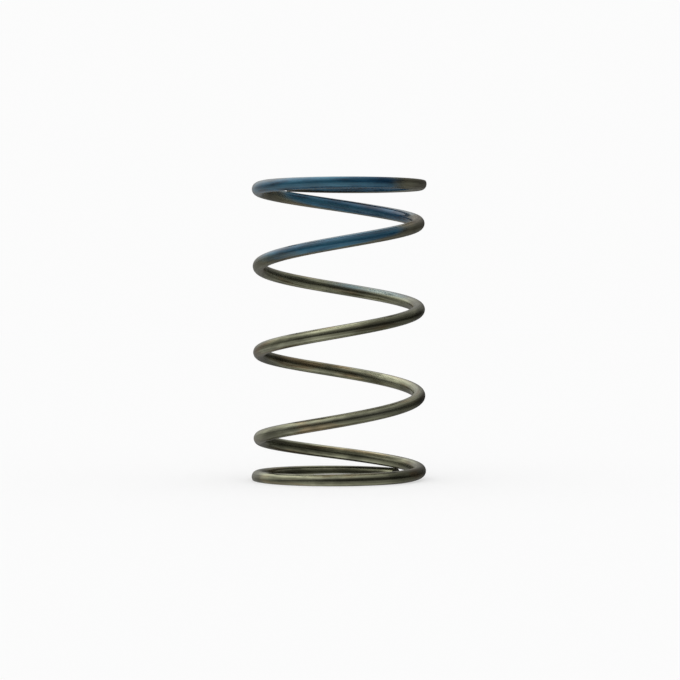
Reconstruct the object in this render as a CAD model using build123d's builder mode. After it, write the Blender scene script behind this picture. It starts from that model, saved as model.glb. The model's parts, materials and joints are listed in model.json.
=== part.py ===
"""Cold-coiled compression spring of round wire: right-hand wound, both ends closed and ground flat.

The real spring is one length of wire. It is modelled as eight stretches of that wire, because each
stretch moves on its own when the spring is squeezed:

    bottom_end_coil                 the closed coil that sits on the lower seat, and the start of the rise
    coil_1_left ... coil_3_right    the open coils from the bottom up, each in a left and a right half
    top_end_coil                    the end of the rise, and the closed coil under the upper seat

The stretches meet on the upright plane x = 0. A half coil tips about the two points where it meets
its neighbours, and its end faces only turn in that plane: the twist that a coil spring's wire takes.

Frame: millimetres, +Z up along the coil axis, the origin on that axis in the bottom ground face.
Angles are in degrees, anticlockwise from +X seen from above, and run on from turn to turn.
"""

import math
import os

from build123d import *

# Driving dimensions
WIRE_D = 3.5
COIL_R = 22.0  # axis to wire centre in the open coils
END_R = 22.6  # the same in the end coils, which stand out a little
COIL_PITCH = 23.75  # rise of the open coils in one turn
END_PITCH = 2.0  # rise of the closed coils in one turn
TIP_RISE = 0.2  # how far the wire's centre clears the ground face at a tip
START_ANGLE = 45.0  # where the bottom tip is
TOTAL_ANGLE = 1884.0  # 5.23 turns from tip to tip
BOTTOM_CLOSED_ANGLE = 262.0  # how far from the bottom tip the coil stays closed
BOTTOM_OPENING_ANGLE = 186.0  # over which the rise then grows evenly to COIL_PITCH
TOP_CLOSED_ANGLE = 274.0  # the same two at the top end
TOP_OPENING_ANGLE = 142.0
FLARE_ANGLE = 180.0  # over which the radius changes, from half a turn after a tip
OPEN_COILS = 3
FIRST_JOINT_ANGLE = 450.0  # where the bottom end coil meets the first half coil, at the back

# Drawing steps
STATION_ANGLE = 9.0  # between the points that a centre line is drawn through
OVERRUN_ANGLE = 7.0  # a stretch is drawn this far past a joint, and then trimmed
TRIM_SIZE = 1.4 * WIRE_D

WIRE_R = WIRE_D / 2
HALF_TURN = 180.0
MIDDLE_ANGLE = START_ANGLE + TOTAL_ANGLE / 2
END_ANGLE = START_ANGLE + TOTAL_ANGLE
LAST_JOINT_ANGLE = FIRST_JOINT_ANGLE + OPEN_COILS * 2 * HALF_TURN


def rise(from_tip, closed_angle, opening_angle):
    """Height of the wire's centre above its end's ground face, at an angle from that end's tip."""
    opening = min(max(from_tip - closed_angle, 0), opening_angle)
    opened = opening**2 / (2 * opening_angle) + max(from_tip - closed_angle - opening_angle, 0)
    return TIP_RISE + (END_PITCH * from_tip + (COIL_PITCH - END_PITCH) * opened) / 360


def rise_from_bottom(angle):
    return rise(angle - START_ANGLE, BOTTOM_CLOSED_ANGLE, BOTTOM_OPENING_ANGLE)


def rise_to_top(angle):
    return rise(END_ANGLE - angle, TOP_CLOSED_ANGLE, TOP_OPENING_ANGLE)


def radius(from_tip):
    """Distance of the wire's centre from the axis, at an angle from the nearer tip."""
    share = min(max((from_tip - HALF_TURN) / FLARE_ANGLE, 0), 1)
    return END_R + (COIL_R - END_R) * share * share * (3 - 2 * share)


FREE_LENGTH = rise_from_bottom(MIDDLE_ANGLE) + rise_to_top(MIDDLE_ANGLE)


def centre(angle):
    """The point of the wire's centre line at an angle."""
    if angle < MIDDLE_ANGLE:
        height = rise_from_bottom(angle)
    else:
        height = FREE_LENGTH - rise_to_top(angle)
    reach = radius(min(angle - START_ANGLE, END_ANGLE - angle))
    return Vector(reach * math.cos(math.radians(angle)), reach * math.sin(math.radians(angle)), height)


def stations(first, last):
    """Evenly spaced points of the centre line between two angles."""
    count = math.ceil((last - first) / STATION_ANGLE)
    return [centre(first + (last - first) * i / count) for i in range(count + 1)]


def save(coil, name):
    coil.part.label = name
    export_step(coil.part, f"parts/{name}.step")


os.makedirs("parts", exist_ok=True)

# Bottom end coil: from the tip to the first joint, with the lower seat ground flat.
with BuildPart() as bottom_end_coil:
    with BuildLine() as line:
        Spline(*stations(START_ANGLE, FIRST_JOINT_ANGLE + OVERRUN_ANGLE))
    with BuildSketch(Plane(line.line @ 0, z_dir=line.line % 0)):
        Circle(WIRE_R)
    sweep(path=line.line, is_frenet=True)
    with Locations(centre(FIRST_JOINT_ANGLE)):
        Box(
            TRIM_SIZE,
            TRIM_SIZE,
            TRIM_SIZE,
            align=(Align.MAX, Align.CENTER, Align.CENTER),
            mode=Mode.SUBTRACT,
        )
    split(bisect_by=Plane.XY, keep=Keep.TOP)
save(bottom_end_coil, "bottom_end_coil")

# Top end coil: from the last joint to the tip, with the upper seat ground flat.
with BuildPart() as top_end_coil:
    with BuildLine() as line:
        Spline(*stations(LAST_JOINT_ANGLE - OVERRUN_ANGLE, END_ANGLE))
    with BuildSketch(Plane(line.line @ 0, z_dir=line.line % 0)):
        Circle(WIRE_R)
    sweep(path=line.line, is_frenet=True)
    with Locations(centre(LAST_JOINT_ANGLE)):
        Box(
            TRIM_SIZE,
            TRIM_SIZE,
            TRIM_SIZE,
            align=(Align.MIN, Align.CENTER, Align.CENTER),
            mode=Mode.SUBTRACT,
        )
    split(bisect_by=Plane.XY.offset(FREE_LENGTH), keep=Keep.BOTTOM)
save(top_end_coil, "top_end_coil")

# Open coils: each half is drawn a little past both joints, then trimmed to its side of x = 0.
for index in range(2 * OPEN_COILS):
    side, kept_side = [("left", Keep.BOTTOM), ("right", Keep.TOP)][index % 2]
    first = FIRST_JOINT_ANGLE + index * HALF_TURN
    with BuildPart() as half_coil:
        with BuildLine() as line:
            Spline(*stations(first - OVERRUN_ANGLE, first + HALF_TURN + OVERRUN_ANGLE))
        with BuildSketch(Plane(line.line @ 0, z_dir=line.line % 0)):
            Circle(WIRE_R)
        sweep(path=line.line, is_frenet=True)
        split(bisect_by=Plane.YZ, keep=kept_side)
    save(half_coil, f"coil_{index // 2 + 1}_{side}")
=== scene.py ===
"""Looks of the compression spring: one wire with ground ends, in drawn steel and blue lacquer.

The wire is one continuous mesh, because the real spring is one piece that bends all along. It stands
for all the CAD stretches. A share of the compression is worked out for each ring of the mesh, so that
the coils would close evenly, but this script doesn't apply it to the wire.

Metres, +Z up, the frame of the CAD. Winding angles are in degrees, anticlockwise from +X seen from
above, and run on from turn to turn, as in the CAD.
"""

import json
import math

import bpy
import numpy as np
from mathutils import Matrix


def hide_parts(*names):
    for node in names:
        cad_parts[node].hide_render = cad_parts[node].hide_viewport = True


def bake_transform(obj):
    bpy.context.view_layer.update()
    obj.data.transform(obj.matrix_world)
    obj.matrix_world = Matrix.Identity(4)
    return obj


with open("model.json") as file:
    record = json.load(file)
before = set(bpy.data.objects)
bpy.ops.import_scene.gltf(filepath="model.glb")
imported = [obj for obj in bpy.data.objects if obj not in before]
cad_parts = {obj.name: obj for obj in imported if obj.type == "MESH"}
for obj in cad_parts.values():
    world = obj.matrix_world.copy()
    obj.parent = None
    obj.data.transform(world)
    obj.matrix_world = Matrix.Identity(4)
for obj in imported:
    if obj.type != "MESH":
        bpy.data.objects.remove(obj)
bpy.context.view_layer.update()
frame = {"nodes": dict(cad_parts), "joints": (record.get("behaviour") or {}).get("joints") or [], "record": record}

# ---------------------------------------------------------------- sizes from the frame
MM = 0.001
mounts = {mount["name"]: mount for mount in frame["record"]["mounts"]}
tilts = [joint for joint in frame["joints"] if joint["type"] == "hinge"]

COIL_R = abs(tilts[0]["pos_m"][1])
WIRE_R = COIL_R - mounts["guide_bore"]["dims"]["r_mm"] * MM
END_R = mounts["pocket_outside"]["dims"]["r_mm"] * MM - WIRE_R
FREE_LENGTH = mounts["top_seat"]["pos_m"][2]
COIL_PITCH = 2 * (tilts[3]["pos_m"][2] - tilts[2]["pos_m"][2])

# ---------------------------------------------------------------- how the wire is wound
END_PITCH = 2.0 * MM  # rise of the closed coils in one turn
TIP_RISE = 0.2 * MM  # how far the wire's centre clears the ground face at a tip
START_ANGLE = 45.0  # where the bottom tip is
TOTAL_ANGLE = 1884.0  # from tip to tip
BOTTOM_CLOSED_ANGLE = 262.0  # how far from the bottom tip the coil stays closed
BOTTOM_OPENING_ANGLE = 186.0  # over which the rise then grows evenly to COIL_PITCH
TOP_CLOSED_ANGLE = 274.0  # the same two at the top end
TOP_OPENING_ANGLE = 142.0
FLARE_ANGLE = 180.0  # over which the radius changes, from half a turn after a tip
FIRST_JOINT_ANGLE = 450.0  # where the bottom end coil ends and the open coils begin
YIELD_ANGLE = 100.0  # over which an end coil gives way to the open coils as the spring closes

END_ANGLE = START_ANGLE + TOTAL_ANGLE
MIDDLE_ANGLE = START_ANGLE + TOTAL_ANGLE / 2
OPEN_ANGLE = 180.0 * len(tilts)
LAST_JOINT_ANGLE = FIRST_JOINT_ANGLE + OPEN_ANGLE

# ---------------------------------------------------------------- how finely the mesh is drawn
RING_ANGLE = 1.5  # between rings of the mesh
SEAT_STEPS = 4  # faces across half of a ground flat
SIDE_STEPS = 16  # faces up a side of the wire, between the rows of the two flats
LEAST_SEAT = 3.0  # half the angle of wire that a flat's rows cover where the flat runs out
FULL_SEAT = 30.0  # what that half angle opens to where there is no flat
SEAT_OPENING = 20.0  # winding angle over which it opens
EDGE_BREAK = 0.1 * MM  # bevel on the edges of the ground faces
TIP_CHAMFER = 0.15 * MM
SLOPE_STEP = 0.01  # winding angle to each side over which the wire's slope is taken
SHARP_ANGLE = 32.0  # edges that turn by more than this are drawn sharp

WIRE_SLOT, GROUND_SLOT, TIP_SLOT = range(3)  # material slots of the mesh


# ================================================================ the wire
def rise(from_tip, closed_angle, opening_angle):
    """Height of the wire's centre above its end's ground face, at an angle from that end's tip."""
    opening = np.clip(from_tip - closed_angle, 0, opening_angle)
    opened = opening**2 / (2 * opening_angle) + np.maximum(from_tip - closed_angle - opening_angle, 0)
    return TIP_RISE + (END_PITCH * from_tip + (COIL_PITCH - END_PITCH) * opened) / 360


def centre_line(angle):
    """Points of the wire's centre line, as in the CAD."""
    from_bottom = angle - START_ANGLE
    from_top = END_ANGLE - angle
    height = np.where(
        angle < MIDDLE_ANGLE,
        rise(from_bottom, BOTTOM_CLOSED_ANGLE, BOTTOM_OPENING_ANGLE),
        FREE_LENGTH - rise(from_top, TOP_CLOSED_ANGLE, TOP_OPENING_ANGLE),
    )
    share = np.clip((np.minimum(from_bottom, from_top) - 180) / FLARE_ANGLE, 0, 1)
    reach = END_R + (COIL_R - END_R) * share * share * (3 - 2 * share)
    turn = np.radians(angle)
    return np.stack([reach * np.cos(turn), reach * np.sin(turn), height], axis=-1)


def ramp_area(share):
    """Area under a smooth step from 0 to share, going on in a straight line past 1."""
    s = np.clip(share, 0, 1)
    return s**3 - s**4 / 2 + np.maximum(share - 1, 0)


def lowering(angle):
    """Share of the compression taken at an angle: 0 in the bottom coil, 1 in the top coil."""
    up = YIELD_ANGLE * ramp_area((angle - FIRST_JOINT_ANGLE) / YIELD_ANGLE + 0.5)
    down = YIELD_ANGLE * ramp_area((LAST_JOINT_ANGLE - angle) / YIELD_ANGLE + 0.5)
    return np.where(up < OPEN_ANGLE / 2, up, OPEN_ANGLE - down) / OPEN_ANGLE


def ring_planes(angle):
    """Centres of the rings, and the outward and upward directions in their planes."""
    centre = centre_line(angle)
    along = centre_line(angle + SLOPE_STEP) - centre_line(angle - SLOPE_STEP)
    along /= np.linalg.norm(along, axis=1, keepdims=True)
    turn = np.radians(angle)
    outward = np.stack([np.cos(turn), np.sin(turn), np.zeros_like(turn)], axis=-1)
    outward -= (outward * along).sum(axis=1, keepdims=True) * along
    outward /= np.linalg.norm(outward, axis=1, keepdims=True)
    return centre, outward, np.cross(outward, along)


def seat_rows(radius, room, spread):
    """Half a flat's rows, from its middle out, as angles from the flat's direction and as (across,
    deep) from the wire's centre, then the angle where the round side starts.

    room is how deep the ground face lies. Where the wire clears it, the rows cover spread."""
    flat = math.acos(min(room / radius, 1.0))
    share = np.linspace(0, 1, SEAT_STEPS + 1)
    corner = max(flat, spread)
    around = corner * share
    across = radius * np.sin(around)
    if flat > spread:
        across = share * max(radius * math.sin(flat) - EDGE_BREAK, radius * math.sin(flat) / 2)
    deep = np.minimum(radius * np.cos(around), room)
    return around, across, deep, corner + EDGE_BREAK / radius


def ring(radius, below, above, spreads):
    """One ring of the wire: angles round it from the bottom, and (across, up) from its centre."""
    low_turn, low_across, low_deep, low_corner = seat_rows(radius, below, spreads[0])
    top_turn, top_across, top_deep, top_corner = seat_rows(radius, above, spreads[1])
    side = np.linspace(low_corner, math.pi - top_corner, SIDE_STEPS + 1)
    turn = np.concatenate([low_turn, side, math.pi - top_turn[::-1]])
    across = np.concatenate([low_across, radius * np.sin(side), top_across[::-1]])
    up = np.concatenate([-low_deep, -radius * np.cos(side), top_deep[::-1]])
    inner = slice(-2, 0, -1)
    return (
        np.concatenate([turn, 2 * math.pi - turn[inner]]),
        np.concatenate([across, -across[inner]]),
        np.concatenate([up, up[inner]]),
    )


def seat_spread(angle, edge, towards):
    """How wide a flat's rows are kept: narrow where the flat runs out at edge, then opening."""
    opened = np.clip((angle - edge) * towards / SEAT_OPENING, 0, 1)
    return math.radians(LEAST_SEAT + (FULL_SEAT - LEAST_SEAT) * opened)


def seat_edges(angles):
    """The winding angles where the bottom flat ends and the top flat begins."""
    height = centre_line(angles)[:, 2]
    return angles[height < WIRE_R].max(), angles[height > FREE_LENGTH - WIRE_R].min()


def ring_angles():
    """Winding angles of the rings, and how far each is set in: the first and last are the tips."""
    chamfer_angle = math.degrees(TIP_CHAMFER / END_R)
    steps = round(TOTAL_ANGLE / RING_ANGLE)
    between = np.linspace(START_ANGLE + chamfer_angle, END_ANGLE - chamfer_angle, steps + 1)
    inset = np.zeros(len(between) + 2)
    inset[[0, -1]] = TIP_CHAMFER
    return np.concatenate([[START_ANGLE], between, [END_ANGLE]]), inset


def lay_rings(angles, inset, edges):
    """All rings' points, the round wire's normals there, and the places on the wire: two
    coordinates round it and one along it. Then how many points a ring has."""
    centre, outward, upward = ring_planes(angles)
    travelled = np.concatenate([[0], np.cumsum(np.linalg.norm(np.diff(centre, axis=0), axis=1))])
    points, normals, places = [], [], []
    for i, angle in enumerate(angles):
        below = centre[i, 2] / upward[i, 2] - inset[i]
        above = (FREE_LENGTH - centre[i, 2]) / upward[i, 2] - inset[i]
        spreads = seat_spread(angle, edges[0], 1), seat_spread(angle, edges[1], -1)
        turn, across, up = ring(WIRE_R - inset[i], below, above, spreads)
        points.append(centre[i] + np.outer(across, outward[i]) + np.outer(up, upward[i]))
        normals.append(np.outer(np.sin(turn), outward[i]) - np.outer(np.cos(turn), upward[i]))
        along = np.full(len(turn), travelled[i])
        places.append(np.stack([WIRE_R * np.cos(turn), WIRE_R * np.sin(turn), along], axis=-1))
    return *[np.concatenate(rings) for rings in (points, normals, places)], len(points[0])


def add_tip_centres(points, normals, places, shares, rows):
    """The same with two more points, in the middle of the bottom and of the top tip's face."""
    for first in (0, len(points) - rows):
        middle = points[first : first + rows].mean(axis=0)
        points = np.vstack([points, middle])
        normals = np.vstack([normals, normals[first]])
        places = np.vstack([places, [0, 0, places[first, 2]]])
        shares = np.append(shares, shares[first])
    return points, normals, places, shares


def join_rings(angles, edges, rows):
    """Faces between the rings and on the tips, and the material slot of each."""
    faces, slots = [], []
    half = rows // 2
    bottom_columns = {*range(SEAT_STEPS), *range(rows - SEAT_STEPS, rows)}
    top_columns = set(range(half - SEAT_STEPS, half + SEAT_STEPS))
    for i, angle in enumerate(angles[:-1]):
        a, b = i * rows, (i + 1) * rows
        for j in range(rows):
            k = (j + 1) % rows
            faces.append((a + j, b + j, b + k, a + k))
            on_bottom = angle < edges[0] and j in bottom_columns
            on_top = angle >= edges[1] and j in top_columns
            slots.append(GROUND_SLOT if on_bottom or on_top else WIRE_SLOT)
    last = (len(angles) - 1) * rows
    tip_centre = len(angles) * rows
    for j in range(rows):
        k = (j + 1) % rows
        faces.append((j, k, tip_centre))
        faces.append((last + k, last + j, tip_centre + 1))
        slots += [TIP_SLOT, TIP_SLOT]
    return faces, slots


def store(mesh, name, vectors):
    """Keep a vector for each point of the mesh, for the materials to read."""
    attribute = mesh.attributes.new(name, "FLOAT_VECTOR", "POINT")
    attribute.data.foreach_set("vector", vectors.astype(np.float32).ravel())


def build_wire():
    """The whole wire as one closed mesh, and each point's share of the compression."""
    angles, inset = ring_angles()
    edges = seat_edges(angles)
    points, normals, places, rows = lay_rings(angles, inset, edges)
    shares = np.repeat(lowering(angles), rows)
    points, normals, places, shares = add_tip_centres(points, normals, places, shares, rows)
    faces, slots = join_rings(angles, edges, rows)

    mesh = bpy.data.meshes.new("spring_wire")
    mesh.from_pydata(points.tolist(), [], faces)
    mesh.polygons.foreach_set("material_index", slots)
    mesh.polygons.foreach_set("use_smooth", [True] * len(faces))
    mesh.set_sharp_from_angle(angle=math.radians(SHARP_ANGLE))
    store(mesh, "wire_place", places / MM)
    store(mesh, "rest_place", points / MM)
    store(mesh, "rest_normal", normals)
    wire = bpy.data.objects.new("spring_wire", mesh)
    bpy.context.scene.collection.objects.link(wire)
    return wire, shares


# ================================================================ materials
# Where the lacquer lies. Directions are unit vectors, places and heights are in millimetres.
TOP = FREE_LENGTH / MM
FROM_FRONT = (-0.42, -0.85, 0.32)  # where the three coats came from
FROM_FRONT_BELOW = (-0.30, -0.75, -0.59)
FROM_BEHIND = (-0.30, 0.88, 0.37)
BELOW_REACHES = (TOP - 6.9, TOP - 5.9)  # heights between which the coat from below sets in
BELOW_DEPTH = (-3.0, 5.0)  # places in Y between which it runs out towards the back
BARE_SIDE = (0.966, -0.259, 0.0)  # the side that was turned away from the spray
BARE_FROM = (0.84, 0.99)  # cosine of the angle from that side, over which the lacquer runs out
BARE_WIDENS = 0.005  # added to the cosine for each millimetre above BARE_LEVEL
BARE_LEVEL = TOP - 17.4
LACQUER_EDGE = (TOP - 22.9, TOP - 19.4)  # the lacquer sets in between these heights
MIST_PLACE = (12.0, 18.4, TOP - 30.4)  # a spot of overspray further down
MIST_REACH = (9.0, 18.0)  # the distance from it over which the overspray thins out
MIST_FALLS = (0.0, -0.40, 0.917)  # it lies on faces turned this way
DULL_STEEL = (TOP - 26.4, TOP - 18.4)  # bare steel gets duller between these heights
RIGHT_PAINTED_SHADE = (-4.0, 12.0)  # painted shade: the lacquer colour is darkened between these places in X, on the side away from the soft light


class Graph:
    """A short way to write shader nodes. Noise stretches are in waves per millimetre."""

    def __init__(self, tree):
        self.tree = tree
        tree.nodes.clear()

    def add(self, kind, inputs=None, **settings):
        node = self.tree.nodes.new(kind)
        for key, value in settings.items():
            setattr(node, key, value)
        for key, value in (inputs or {}).items():
            self.put(node.inputs[key], value)
        return node

    def put(self, socket, value):
        if isinstance(value, bpy.types.NodeSocket):
            self.tree.links.new(value, socket)
        elif isinstance(value, tuple) and len(value) == 3 and socket.type == "RGBA":
            socket.default_value = (*value, 1)
        else:
            socket.default_value = value

    def attribute(self, name):
        return self.add("ShaderNodeAttribute", attribute_name=name).outputs["Vector"]

    def vector(self, operation, a, b=(0, 0, 0)):
        node = self.add("ShaderNodeVectorMath", {0: a, 1: b}, operation=operation)
        return node.outputs["Value" if operation in ("DOT_PRODUCT", "DISTANCE") else "Vector"]

    def grey(self, value):
        return self.add("ShaderNodeCombineXYZ", {0: value, 1: value, 2: value}).outputs[0]

    def axes(self, vector):
        return self.add("ShaderNodeSeparateXYZ", {0: vector}).outputs

    def noise(self, vector, stretch, detail=3.0, roughness=0.5, distortion=0.0):
        scaled = self.vector("MULTIPLY", vector, stretch)
        inputs = {"Vector": scaled, "Scale": 1.0, "Detail": detail}
        inputs |= {"Roughness": roughness, "Distortion": distortion}
        return self.add("ShaderNodeTexNoise", inputs).outputs["Fac"]

    def math(self, operation, a, b=0.0, c=0.0):
        inputs = {0: a, 1: b, 2: c}
        return self.add("ShaderNodeMath", inputs, operation=operation).outputs[0]

    def step(self, value, low, high, bottom=0.0, top=1.0):
        """bottom below low, top above high, smooth between."""
        inputs = {"Value": value, "From Min": low, "From Max": high, "To Min": bottom, "To Max": top}
        return self.add("ShaderNodeMapRange", inputs, interpolation_type="SMOOTHSTEP").outputs[0]

    def ramp(self, value, *stops):
        node = self.add("ShaderNodeValToRGB", {"Fac": value})
        elements = node.color_ramp.elements
        while len(elements) < len(stops):
            elements.new(0.5)
        for element, (position, colour) in zip(elements, stops):
            element.position = position
            element.color = (*colour, 1)
        return node.outputs["Color"]

    def mix(self, share, a, b, blend="MIX"):
        """Mix two colours, whose sockets on the node can only be told apart by number."""
        node = self.add("ShaderNodeMix", data_type="RGBA", blend_type=blend)
        for number, value in ((0, share), (6, a), (7, b)):
            self.put(node.inputs[number], value)
        return node.outputs[2]

    def mix_value(self, share, a, b):
        return self.add("ShaderNodeMix", {0: share, 2: a, 3: b}, data_type="FLOAT").outputs[0]

    def bump(self, height, distance):
        """distance is how far a height of 1 stands out, in metres."""
        inputs = {"Height": height, "Strength": 1.0, "Distance": distance}
        return self.add("ShaderNodeBump", inputs).outputs["Normal"]

    def shader(self, **inputs):
        named = {key.replace("_", " "): value for key, value in inputs.items()}
        return self.add("ShaderNodeBsdfPrincipled", named).outputs[0]

    def mix_shader(self, share, a, b):
        return self.add("ShaderNodeMixShader", {0: share, 1: a, 2: b}).outputs[0]

    def output(self, surface, kind="ShaderNodeOutputMaterial"):
        self.add(kind, {"Surface": surface})


def new_material(name):
    material = bpy.data.materials.new(name)
    material.use_nodes = True
    return material, Graph(material.node_tree)


def steel(g, place):
    """Colour, roughness and relief of the drawn wire: fine lines along it, oxide, rust and specks."""
    # Stretches are round the wire, round the wire and along it.
    streaks = g.noise(place, (0.9, 0.9, 0.022), 3.0, 0.60)
    hairs = g.noise(place, (5.0, 5.0, 0.050), 3.0, 0.60)
    patches = g.noise(place, (0.22, 0.22, 0.085), 3.0, 0.55, 0.4)
    rust = g.noise(place, (0.30, 0.30, 0.050), 4.0, 0.60, 0.6)
    specks = g.noise(place, (3.2, 3.2, 1.6), 3.0, 0.60)
    grain = g.math("MULTIPLY_ADD", hairs, 0.30, g.math("MULTIPLY", streaks, 0.70))
    colour = g.ramp(
        grain,
        (0.38, (0.083, 0.081, 0.049)),
        (0.47, (0.185, 0.190, 0.128)),
        (0.55, (0.244, 0.252, 0.180)),
        (0.66, (0.382, 0.392, 0.297)),
    )
    shade = g.step(patches, 0.34, 0.66, 0.62, 1.42)
    colour = g.mix(1.0, colour, g.grey(shade), "MULTIPLY")
    colour = g.mix(g.step(rust, 0.50, 0.66), colour, (1.00, 0.78, 0.66), "MULTIPLY")
    colour = g.mix(g.step(specks, 0.62, 0.72, 0.0, 0.55), colour, (0.045, 0.040, 0.026))
    roughness = g.math("MULTIPLY_ADD", hairs, 0.14, 0.13)
    roughness = g.math("ADD", roughness, g.step(patches, 0.34, 0.66, 0.06, 0.0))
    return colour, roughness, g.math("MULTIPLY_ADD", specks, 0.15, grain)


def overspray(g, place, rest, normal):
    """Mist that settled on the upper face of the wire round one spot."""
    drops = g.noise(place, (5.0, 5.0, 3.0), 3.0, 0.7)
    distance = g.vector("DISTANCE", rest, MIST_PLACE)
    settles = g.step(g.vector("DOT_PRODUCT", normal, MIST_FALLS), 0.45, 0.85)
    mist = g.math("MULTIPLY", g.step(distance, *MIST_REACH, 0.80, 0.0), settles)
    return g.math("MULTIPLY", mist, g.step(drops, 0.35, 0.60, 0.45, 1.0))


def lacquer_cover(g, place, rest, normal):
    """How much lacquer lies on the wire: the upper coils were sprayed from the front and from
    behind, so one side and most undersides stayed bare, and a mist drifted below the edge."""
    _, depth, height = g.axes(rest)
    ragged = g.math("SUBTRACT", g.noise(place, (0.5, 0.5, 0.16), 4.0, 0.60), 0.5)

    def coat(source, low, high):
        faces = g.vector("DOT_PRODUCT", normal, source)
        return g.step(g.math("MULTIPLY_ADD", ragged, 0.3, faces), low, high)

    reached = g.math("MULTIPLY", g.step(height, *BELOW_REACHES), g.step(depth, *BELOW_DEPTH, 1.0, 0.0))
    sprayed = g.math("MULTIPLY", coat(FROM_FRONT_BELOW, 0.10, 0.45), reached)
    for other in (coat(FROM_FRONT, 0.05, 0.45), coat(FROM_BEHIND, 0.20, 0.60)):
        sprayed = g.math("MAXIMUM", sprayed, other)

    outward = g.vector("NORMALIZE", g.vector("MULTIPLY", rest, (1, 1, 0)))
    aside = g.vector("DOT_PRODUCT", outward, BARE_SIDE)
    aside = g.math("MULTIPLY_ADD", g.math("SUBTRACT", height, BARE_LEVEL), BARE_WIDENS, aside)
    aside = g.math("MULTIPLY_ADD", ragged, 0.12, aside)
    level = g.math("MULTIPLY_ADD", ragged, 3.0, height)
    full = g.math("MULTIPLY", sprayed, g.step(aside, *BARE_FROM, 1.0, 0.0))
    full = g.math("MULTIPLY", full, g.step(level, *LACQUER_EDGE))
    return g.math("MAXIMUM", full, overspray(g, place, rest, normal))


def lacquer(g, place, rest, relief):
    """Colour, roughness and relief of the lacquer: flow marks and orange peel, thin on the lines
    of the wire, and painted shade that darkens it towards the right, away from the soft light."""
    flow = g.noise(place, (0.6, 0.6, 0.12), 3.0, 0.5)
    peel = g.noise(place, (1.6, 1.6, 0.9), 2.0, 0.5)
    blue = g.ramp(
        flow,
        (0.36, (0.003, 0.028, 0.056)),
        (0.50, (0.009, 0.068, 0.126)),
        (0.64, (0.021, 0.112, 0.182)),
    )
    # painted shade: darkens the blue towards the right, the side away from the soft light
    right_painted_shade = g.step(g.axes(rest)[0], *RIGHT_PAINTED_SHADE)
    blue = g.mix(right_painted_shade, blue, (0.35, 0.60, 0.72), "MULTIPLY")
    blue = g.mix(g.step(relief, 0.52, 0.70, 0.0, 0.55), blue, (0.05, 0.15, 0.21))
    roughness = g.math("MULTIPLY_ADD", peel, 0.20, 0.08)
    return blue, roughness, g.math("MULTIPLY_ADD", relief, 0.35, g.math("MULTIPLY", peel, 1.2))


def wire_material():
    """Drawn steel, duller near the lacquer, with the lacquer over it where it lies."""
    material, g = new_material("drawn_wire_and_lacquer")
    place = g.attribute("wire_place")
    rest = g.attribute("rest_place")
    normal = g.attribute("rest_normal")
    colour, roughness, relief = steel(g, place)
    blue, gloss, coated_relief = lacquer(g, place, rest, relief)
    cover = lacquer_cover(g, place, rest, normal)

    bare = g.math("SUBTRACT", 1.0, cover)
    dull = g.math("MULTIPLY", g.step(g.axes(rest)[2], *DULL_STEEL, 0.0, 0.50), bare)
    colour = g.mix(dull, colour, (0.100, 0.090, 0.066))
    roughness = g.mix_value(dull, roughness, 0.38)

    surface = g.shader(
        Base_Color=g.mix(cover, colour, blue),
        Metallic=g.mix_value(g.math("MAXIMUM", cover, dull), 0.97, 0.50),
        Roughness=g.mix_value(cover, roughness, gloss),
        Coat_Weight=g.math("MULTIPLY", cover, 0.5),
        Coat_Roughness=0.06,
        Normal=g.bump(g.mix_value(cover, relief, coated_relief), 0.035 * MM),
    )
    g.output(surface)
    return material


def ground_material():
    """The flat faces: bright steel with grinding marks that all run one way."""
    material, g = new_material("ground_face")
    rest = g.attribute("rest_place")
    marks = g.noise(rest, (0.20, 6.0, 0.0), 3.0, 0.6)
    sweeps = g.noise(rest, (0.15, 0.6, 0.0), 2.0, 0.5)
    tone = g.ramp(marks, (0.30, (0.40, 0.395, 0.37)), (0.70, (0.66, 0.65, 0.62)))
    tone = g.mix(g.step(sweeps, 0.45, 0.70, 0.0, 0.4), tone, (0.62, 0.56, 0.46), "MULTIPLY")
    roughness = g.math("MULTIPLY_ADD", marks, 0.25, 0.24)
    normal = g.bump(marks, 0.03 * MM)
    g.output(g.shader(Base_Color=tone, Metallic=1.0, Roughness=roughness, Normal=normal))
    return material


def tip_material():
    """The cut tips: rough steel, coloured very dark as painted shade on the shadowed ends."""
    material, g = new_material("cut_tip")
    rest = g.attribute("rest_place")
    grain = g.noise(rest, (2.5, 2.5, 2.5), 4.0, 0.65)
    # painted shade: the tips' colour is kept very dark to stand in for the shade on the cut ends
    tone = g.ramp(grain, (0.30, (0.045, 0.040, 0.028)), (0.70, (0.16, 0.15, 0.12)))
    roughness = g.math("MULTIPLY_ADD", grain, 0.25, 0.32)
    normal = g.bump(grain, 0.1 * MM)
    g.output(g.shader(Base_Color=tone, Metallic=0.9, Roughness=roughness, Normal=normal))
    return material


# ================================================================ the piece
wire, shares = build_wire()
for material in (wire_material(), ground_material(), tip_material()):
    wire.data.materials.append(material)
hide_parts(*frame["nodes"])
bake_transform(wire)


# ================================================================ floor, light and camera
PAPER_WHITE = 0.97  # what the camera sees of the floor and backdrop
WHITE = (1.0, 1.0, 1.0)
FLOOR_ALBEDO = 0.45
FLOOR_GLOW = 0.50  # the floor glows by half, which keeps its shadow faint
FLOOR_DROP = 0.05 * MM  # keeps the floor clear of the ground face that rests on it
FLOOR_HALF_WIDTH = 3.0

# Lights that the wire mirrors: the way to the middle, how narrow, how bright.
SOFTBOX = (-0.393, 0.200, 0.898), 7.0, 2.0
TABLE = (-0.707, -0.707, 0.0), 1.6, 0.46
BACKDROP = (-0.492, 0.853, 0.174), 10.0, 0.25
TABLE_LEAST = 0.17  # added all over the table
UNDER_TABLE = 0.34  # added straight below
CEILING = 0.24
GLIMMER = 0.035  # added everywhere
MIRRORED_TINT = (1.0, 0.98, 0.94)

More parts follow.
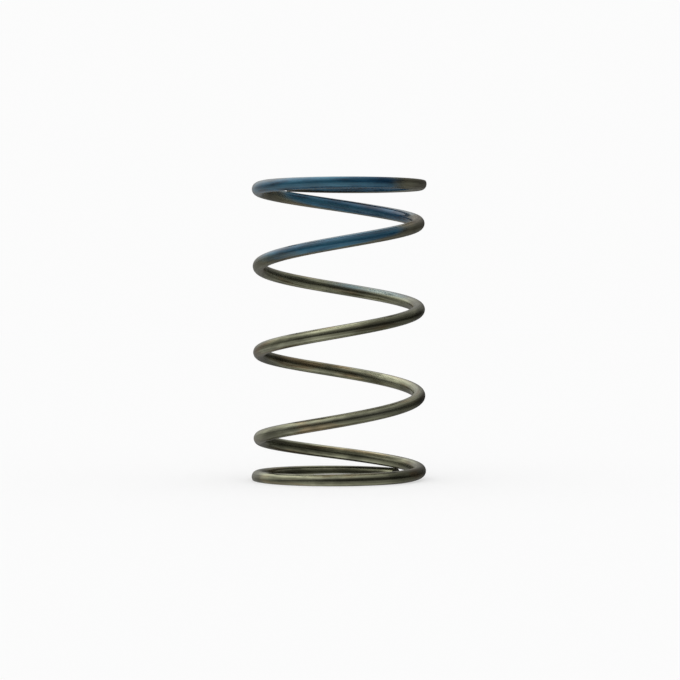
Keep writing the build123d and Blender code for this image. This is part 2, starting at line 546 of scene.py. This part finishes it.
# The camera stands where the outline of the spring agrees best with the photo.
CAMERA_PLACE = (0.0003, -0.621, 0.0488)
CAMERA_DOWN = 0.944  # degrees below level
CAMERA_ROLL = 0.28
CAMERA_LENS = 119.0  # in millimetres, as is the sensor
CAMERA_SENSOR = 36.0


def add_floor():
    """A white sheet, which cannot be seen from below."""
    half = FLOOR_HALF_WIDTH
    mesh = bpy.data.meshes.new("floor")
    corners = [(x * half, y * half, -FLOOR_DROP) for x, y in ((-1, -1), (1, -1), (1, 1), (-1, 1))]
    mesh.from_pydata(corners, [], [(0, 1, 2, 3)])
    material, g = new_material("pale_floor")
    paper = g.shader(
        Base_Color=(FLOOR_ALBEDO, FLOOR_ALBEDO, FLOOR_ALBEDO),
        Roughness=1.0,
        Specular_IOR_Level=0.0,
        Emission_Color=WHITE,
        Emission_Strength=FLOOR_GLOW,
    )
    behind = g.add("ShaderNodeNewGeometry").outputs["Backfacing"]
    clear = g.add("ShaderNodeBsdfTransparent").outputs[0]
    g.output(g.mix_shader(behind, paper, clear))
    mesh.materials.append(material)
    floor = bpy.data.objects.new("floor", mesh)
    bpy.context.scene.collection.objects.link(floor)
    floor.visible_glossy = False


def studio_light(g):
    """How bright the studio is that a shiny surface mirrors: a soft light high on the left, a dim
    ceiling, a dark band at eye level, a pale table that is brightest in front on the left, and a
    grey backdrop."""
    way = g.add("ShaderNodeTexCoord").outputs["Generated"]
    up = g.axes(way)[2]

    def glow(middle, narrow, bright):
        share = g.math("MULTIPLY_ADD", g.vector("DOT_PRODUCT", way, middle), 0.5, 0.5)
        return g.math("MULTIPLY", g.math("POWER", share, narrow), bright)

    table = g.math("ADD", glow(*TABLE), TABLE_LEAST)
    table = g.math("MULTIPLY", table, g.step(up, -0.60, 0.02, 1.0, 0.0))
    under_table = g.step(up, -1.0, -0.60, UNDER_TABLE, 0.0)
    ceiling = g.step(up, 0.10, 0.98, 0.0, CEILING)
    light = GLIMMER
    for part in (glow(*SOFTBOX), ceiling, table, under_table, glow(*BACKDROP)):
        light = g.math("ADD", light, part)
    return light


def add_world():
    """White to the camera, even light for matt surfaces, and the studio in shiny ones."""
    world = bpy.data.worlds.new("studio")
    world.use_nodes = True
    world.cycles.sampling_method = "NONE"
    g = Graph(world.node_tree)
    rays = g.add("ShaderNodeLightPath").outputs

    def background(colour, strength):
        return g.add("ShaderNodeBackground", {"Color": colour, "Strength": strength}).outputs[0]

    mirrored = background(MIRRORED_TINT, studio_light(g))
    even = background(WHITE, (PAPER_WHITE - FLOOR_GLOW) / FLOOR_ALBEDO)
    seen = background(WHITE, PAPER_WHITE)
    light = g.mix_shader(rays["Is Diffuse Ray"], mirrored, even)
    g.output(g.mix_shader(rays["Is Camera Ray"], light, seen), "ShaderNodeOutputWorld")
    bpy.context.scene.world = world


def add_camera():
    """Far off in front, a little above the middle of the spring, looking slightly down."""
    data = bpy.data.cameras.new("camera")
    data.sensor_width = CAMERA_SENSOR
    data.lens = CAMERA_LENS
    data.clip_start = 0.01
    camera = bpy.data.objects.new("camera", data)
    camera.location = CAMERA_PLACE
    camera.rotation_euler = (math.radians(90 - CAMERA_DOWN), math.radians(CAMERA_ROLL), 0)
    bpy.context.scene.collection.objects.link(camera)
    bpy.context.scene.camera = camera


add_floor()
add_world()
add_camera()
bpy.context.scene.view_settings.view_transform = "Standard"
